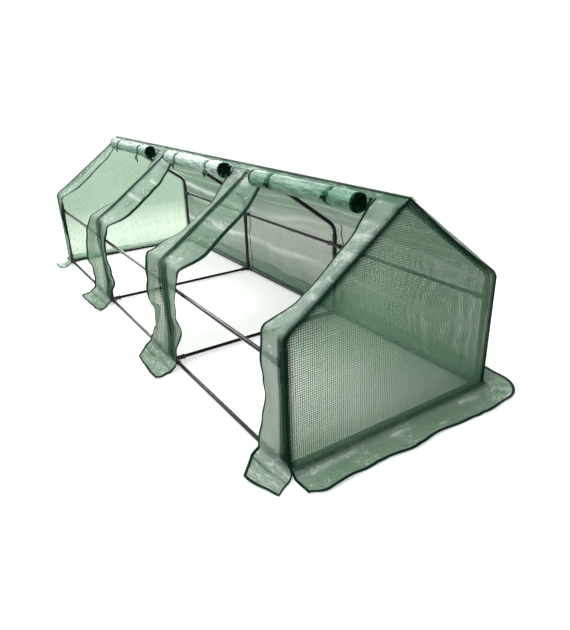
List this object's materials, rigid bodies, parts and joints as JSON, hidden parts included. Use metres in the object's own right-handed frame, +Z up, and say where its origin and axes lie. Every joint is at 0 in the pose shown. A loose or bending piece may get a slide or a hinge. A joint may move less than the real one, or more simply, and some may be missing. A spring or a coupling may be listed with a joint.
{
  "type": "low garden polytunnel greenhouse",
  "caption": "Low garden polytunnel: a pitched push-fit tube frame under a green grid-reinforced film cover with roll-up front doors and ground skirts.",
  "frame": {"origin": "on the ground, at the middle of the footprint", "axes": "+X along the tunnel, -Y the door side, +Z up"},
  "size_m": [2.988, 1.1562, 0.8092],
  "materials": {
    "frame_tube": "black powder coat, satin",
    "connector": "black moulded plastic, satin",
    "cover_film": "translucent green film with a woven grid, glossy creases",
    "trim": "dark green sewn binding",
    "rolled_film": "rolled green film, glossy creases",
    "tie": "dark green woven tape"
  },
  "bodies": {
    "root": {"front_leg_1": "frame_tube", "front_leg_2": "frame_tube", "front_leg_3": "frame_tube", "front_leg_4": "frame_tube", "back_leg_1": "frame_tube", "back_leg_2": "frame_tube", "back_leg_3": "frame_tube", "back_leg_4": "frame_tube", "front_rafter_1": "frame_tube", "front_rafter_2": "frame_tube", "front_rafter_3": "frame_tube", "front_rafter_4": "frame_tube", "back_rafter_1": "frame_tube", "back_rafter_2": "frame_tube", "back_rafter_3": "frame_tube", "back_rafter_4": "frame_tube", "ridge_bars": "frame_tube", "front_purlins": "frame_tube", "back_purlins": "frame_tube", "front_base_rails": "frame_tube", "back_base_rails": "frame_tube", "ground_bars": "frame_tube", "ridge_connectors": "connector", "front_purlin_connectors": "connector", "back_purlin_connectors": "connector", "front_feet": "connector", "back_feet": "connector", "back_cover": "cover_film", "left_end_panel": "cover_film", "right_end_panel": "cover_film", "front_strip_1": "cover_film", "front_strip_2": "cover_film", "front_strip_3": "cover_film", "front_strip_4": "cover_film", "ridge_band": "trim", "rolled_door_1": "rolled_film", "rolled_door_2": "rolled_film", "rolled_door_3": "rolled_film", "door_ties_1": "tie", "door_ties_2": "tie", "door_ties_3": "tie", "back_skirt": "cover_film", "left_skirt": "cover_film", "right_skirt": "cover_film"}
  },
  "joints": []
}
